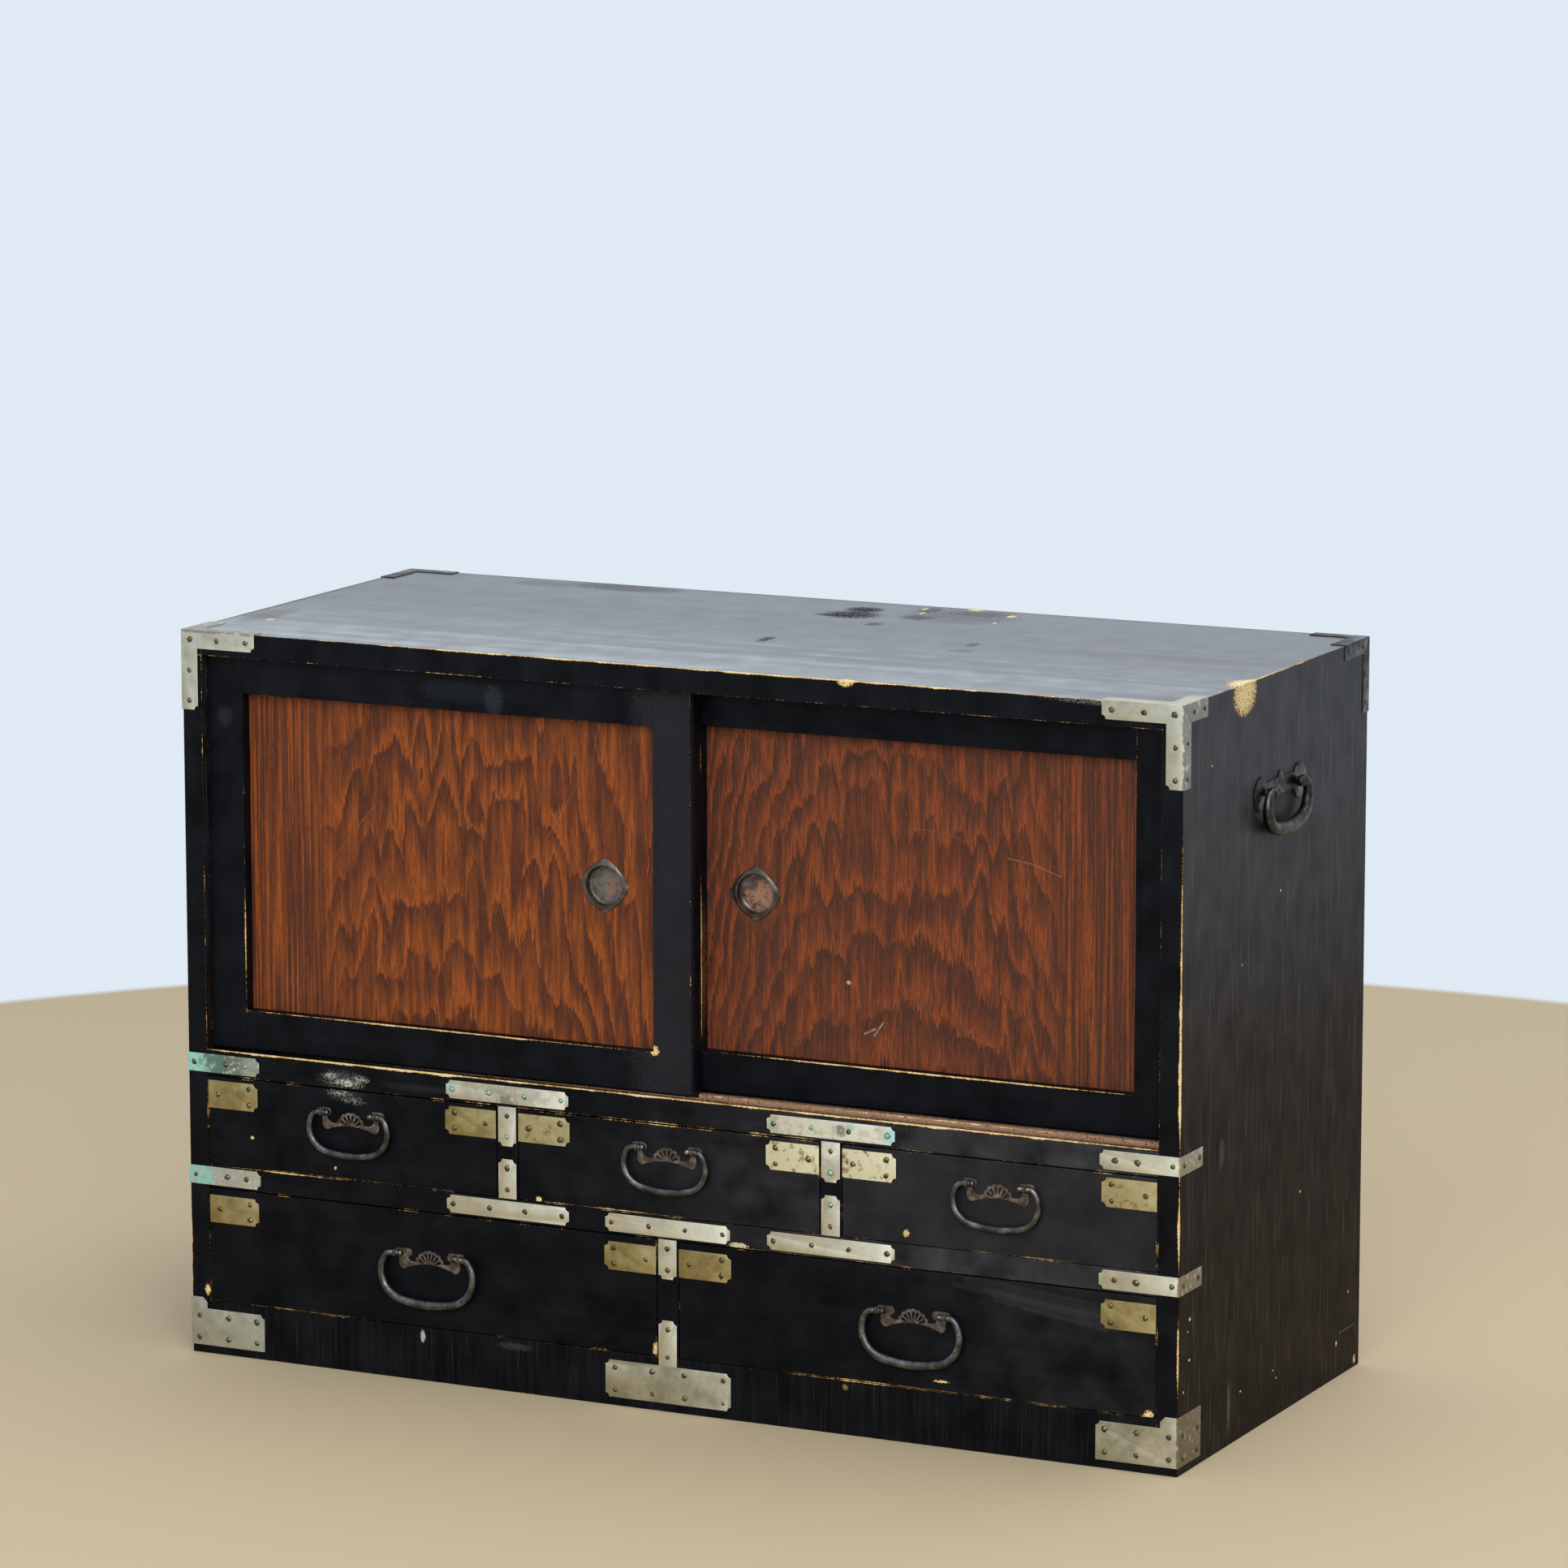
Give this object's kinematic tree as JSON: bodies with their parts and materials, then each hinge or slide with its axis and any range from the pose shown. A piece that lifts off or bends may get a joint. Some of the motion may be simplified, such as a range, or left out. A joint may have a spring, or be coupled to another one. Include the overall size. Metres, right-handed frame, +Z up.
{
  "type": "isho clothing chest",
  "caption": "Low black-lacquered wooden clothing chest with sliding panelled doors over rows of drawers, metal corner plates, bail handles and carrying handles.",
  "frame": {"origin": "centre of the whole chest's footprint, on the floor", "axes": "+X to the right along the front, -Y out of the front, +Z up"},
  "size_m": [0.9786, 0.423, 0.6508],
  "materials": {
    "black_lacquer": "worn black lacquer, satin",
    "plain_wood": "bare aged softwood",
    "stained_panel": "red-brown stain, satin",
    "nickel_plate": "tarnished, matte",
    "aged_brass": "tarnished, satin",
    "dark_iron": "forged, worn satin",
    "rusty_iron": "light rust, matte",
    "dark_bronze": "dark patina, satin"
  },
  "bodies": {
    "chest": {"left_side_board": "black_lacquer", "right_side_board": "black_lacquer", "top_board": "black_lacquer", "door_sill": "black_lacquer", "middle_rail": "black_lacquer", "base_rail": "black_lacquer", "upper_posts": "black_lacquer", "lower_post": "black_lacquer", "back_boards": "plain_wood", "cabinet_floor": "plain_wood", "drawer_shelf": "plain_wood", "bottom_board": "plain_wood", "upper_partitions": "plain_wood", "lower_partition": "plain_wood", "front_top_corners": "nickel_plate", "base_corners": "nickel_plate", "sill_straps": "nickel_plate", "middle_straps": "nickel_plate", "joint_plates": "nickel_plate", "base_joint_plate": "nickel_plate", "post_plates": "nickel_plate", "rear_top_corners": "dark_iron", "side_handle_plates": "dark_iron"},
    "left_door": {"left_door_stiles": "black_lacquer", "left_door_rails": "black_lacquer", "left_door_panel": "stained_panel", "left_door_pull": "dark_bronze"},
    "right_door": {"right_door_stiles": "black_lacquer", "right_door_rails": "black_lacquer", "right_door_panel": "stained_panel", "right_door_pull": "dark_bronze"},
    "upper_left_drawer": {"upper_left_drawer_front": "black_lacquer", "upper_left_drawer_box": "plain_wood", "upper_left_drawer_corner_plates": "aged_brass", "upper_left_drawer_handle_plate": "rusty_iron"},
    "upper_left_drawer_bail": {"upper_left_drawer_bail": "dark_iron"},
    "upper_middle_drawer": {"upper_middle_drawer_front": "black_lacquer", "upper_middle_drawer_box": "plain_wood", "upper_middle_drawer_corner_plates": "aged_brass", "upper_middle_drawer_handle_plate": "rusty_iron"},
    "upper_middle_drawer_bail": {"upper_middle_drawer_bail": "dark_iron"},
    "upper_right_drawer": {"upper_right_drawer_front": "black_lacquer", "upper_right_drawer_box": "plain_wood", "upper_right_drawer_corner_plates": "aged_brass", "upper_right_drawer_handle_plate": "rusty_iron"},
    "upper_right_drawer_bail": {"upper_right_drawer_bail": "dark_iron"},
    "lower_left_drawer": {"lower_left_drawer_front": "black_lacquer", "lower_left_drawer_box": "plain_wood", "lower_left_drawer_corner_plates": "aged_brass", "lower_left_drawer_handle_plate": "rusty_iron"},
    "lower_left_drawer_bail": {"lower_left_drawer_bail": "dark_iron"},
    "lower_right_drawer": {"lower_right_drawer_front": "black_lacquer", "lower_right_drawer_box": "plain_wood", "lower_right_drawer_corner_plates": "aged_brass", "lower_right_drawer_handle_plate": "rusty_iron"},
    "lower_right_drawer_bail": {"lower_right_drawer_bail": "dark_iron"},
    "left_side_bail": {"left_side_bail": "dark_iron"},
    "right_side_bail": {"right_side_bail": "dark_iron"}
  },
  "joints": [
    {"name": "left_door_slide", "type": "slide", "parent": "chest", "child": "left_door", "axis": [1, 0, 0], "range_m": [0, 0.436]},
    {"name": "right_door_slide", "type": "slide", "parent": "chest", "child": "right_door", "axis": [-1, 0, 0], "range_m": [0, 0.436]},
    {"name": "upper_left_drawer_slide", "type": "slide", "parent": "chest", "child": "upper_left_drawer", "axis": [0, -1, 0], "range_m": [0, 0.31]},
    {"name": "upper_left_drawer_bail_hinge", "type": "hinge", "parent": "upper_left_drawer", "child": "upper_left_drawer_bail", "pos_m": [-0.31067, -0.2063, 0.2325], "axis": [-1, 0, 0], "range_deg": [0, 165]},
    {"name": "upper_middle_drawer_slide", "type": "slide", "parent": "chest", "child": "upper_middle_drawer", "axis": [0, -1, 0], "range_m": [0, 0.31]},
    {"name": "upper_middle_drawer_bail_hinge", "type": "hinge", "parent": "upper_middle_drawer", "child": "upper_middle_drawer_bail", "pos_m": [0, -0.2063, 0.2325], "axis": [-1, 0, 0], "range_deg": [0, 165]},
    {"name": "upper_right_drawer_slide", "type": "slide", "parent": "chest", "child": "upper_right_drawer", "axis": [0, -1, 0], "range_m": [0, 0.31]},
    {"name": "upper_right_drawer_bail_hinge", "type": "hinge", "parent": "upper_right_drawer", "child": "upper_right_drawer_bail", "pos_m": [0.31067, -0.2063, 0.2325], "axis": [-1, 0, 0], "range_deg": [0, 165]},
    {"name": "lower_left_drawer_slide", "type": "slide", "parent": "chest", "child": "lower_left_drawer", "axis": [0, -1, 0], "range_m": [0, 0.31]},
    {"name": "lower_left_drawer_bail_hinge", "type": "hinge", "parent": "lower_left_drawer", "child": "lower_left_drawer_bail", "pos_m": [-0.233, -0.2073, 0.114], "axis": [-1, 0, 0], "range_deg": [0, 165]},
    {"name": "lower_right_drawer_slide", "type": "slide", "parent": "chest", "child": "lower_right_drawer", "axis": [0, -1, 0], "range_m": [0, 0.31]},
    {"name": "lower_right_drawer_bail_hinge", "type": "hinge", "parent": "lower_right_drawer", "child": "lower_right_drawer_bail", "pos_m": [0.233, -0.2073, 0.114], "axis": [-1, 0, 0], "range_deg": [0, 165]},
    {"name": "left_side_bail_hinge", "type": "hinge", "parent": "chest", "child": "left_side_bail", "pos_m": [-0.483, 0.0082, 0.551], "axis": [0, 1, 0], "range_deg": [0, 165]},
    {"name": "right_side_bail_hinge", "type": "hinge", "parent": "chest", "child": "right_side_bail", "pos_m": [0.483, 0.0082, 0.551], "axis": [0, -1, 0], "range_deg": [0, 165]}
  ]
}
